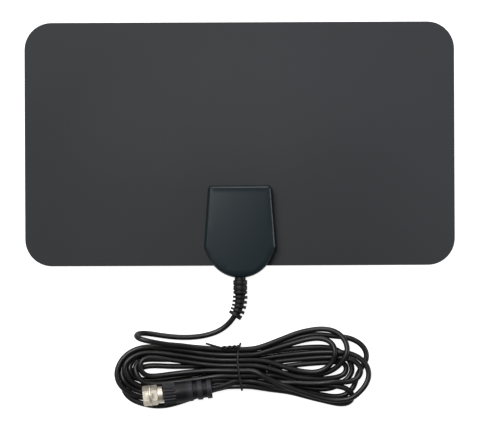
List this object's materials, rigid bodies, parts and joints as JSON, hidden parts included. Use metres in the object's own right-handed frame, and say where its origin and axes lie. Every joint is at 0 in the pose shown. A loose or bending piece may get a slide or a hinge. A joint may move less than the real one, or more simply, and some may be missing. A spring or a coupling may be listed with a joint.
{
  "type": "flat indoor tv antenna",
  "caption": "Flat indoor TV antenna: thin rounded sheet, small housing at its lower edge, ribbed strain relief and a tied coaxial cable with a screw-on plug.",
  "frame": {"origin": "on the floor under the middle of the film panel and its housing, cable left out", "axes": "+X along the sheet's long side to the right, +Y to the edge away from the cable, +Z out of the front face; the antenna lies on its back"},
  "size_m": [0.27, 0.2416, 0.0173],
  "materials": {
    "film": "fine matt laminated film",
    "foil": "thin bright foil",
    "housing": "satin moulded ABS",
    "screw_steel": "zinc plated",
    "board": "solder mask",
    "ferrite": "sintered, matt",
    "copper": "bare copper",
    "chip": "matt with tinned ends",
    "rivet_metal": "tinned brass",
    "solder": "bright solder",
    "braid": "tinned braid",
    "insulation": "milky polythene",
    "relief_rubber": "soft PVC, fine matt",
    "cable_jacket": "smooth extruded PVC",
    "tie_wire": "plastic-coated wire",
    "boot_rubber": "fine matt PVC, slightly blue",
    "nickel": "nickel plate, satin, warm"
  },
  "bodies": {
    "antenna": {"front_film": "film", "rear_film": "film", "foil_element_left": "foil", "foil_element_right": "foil", "front_cover": "housing", "rear_cover": "housing", "housing_screws": "screw_steel", "circuit_board": "board", "balun_core": "ferrite", "balun_winding": "copper", "chip_capacitors": "chip", "contact_rivets": "rivet_metal", "solder_joints": "solder", "cable_shield": "braid", "cable_insulation": "insulation", "inner_conductor": "copper", "strain_relief": "relief_rubber", "cable_tail": "cable_jacket", "cable_lead": "cable_jacket", "cable_hank": "cable_jacket", "cable_end": "cable_jacket", "cable_plug_end": "cable_jacket", "twist_tie": "tie_wire", "connector_boot": "boot_rubber", "connector_body": "nickel", "connector_insulator": "insulation", "centre_contact": "copper"},
    "nut": {"coupling_nut": "nickel"}
  },
  "joints": [
    {"name": "nut_spin", "type": "hinge", "parent": "antenna", "child": "nut", "pos_m": [-0.05469, -0.15346, 0.0104], "axis": [-0.9943, -0.1063, 0], "continuous": true}
  ]
}
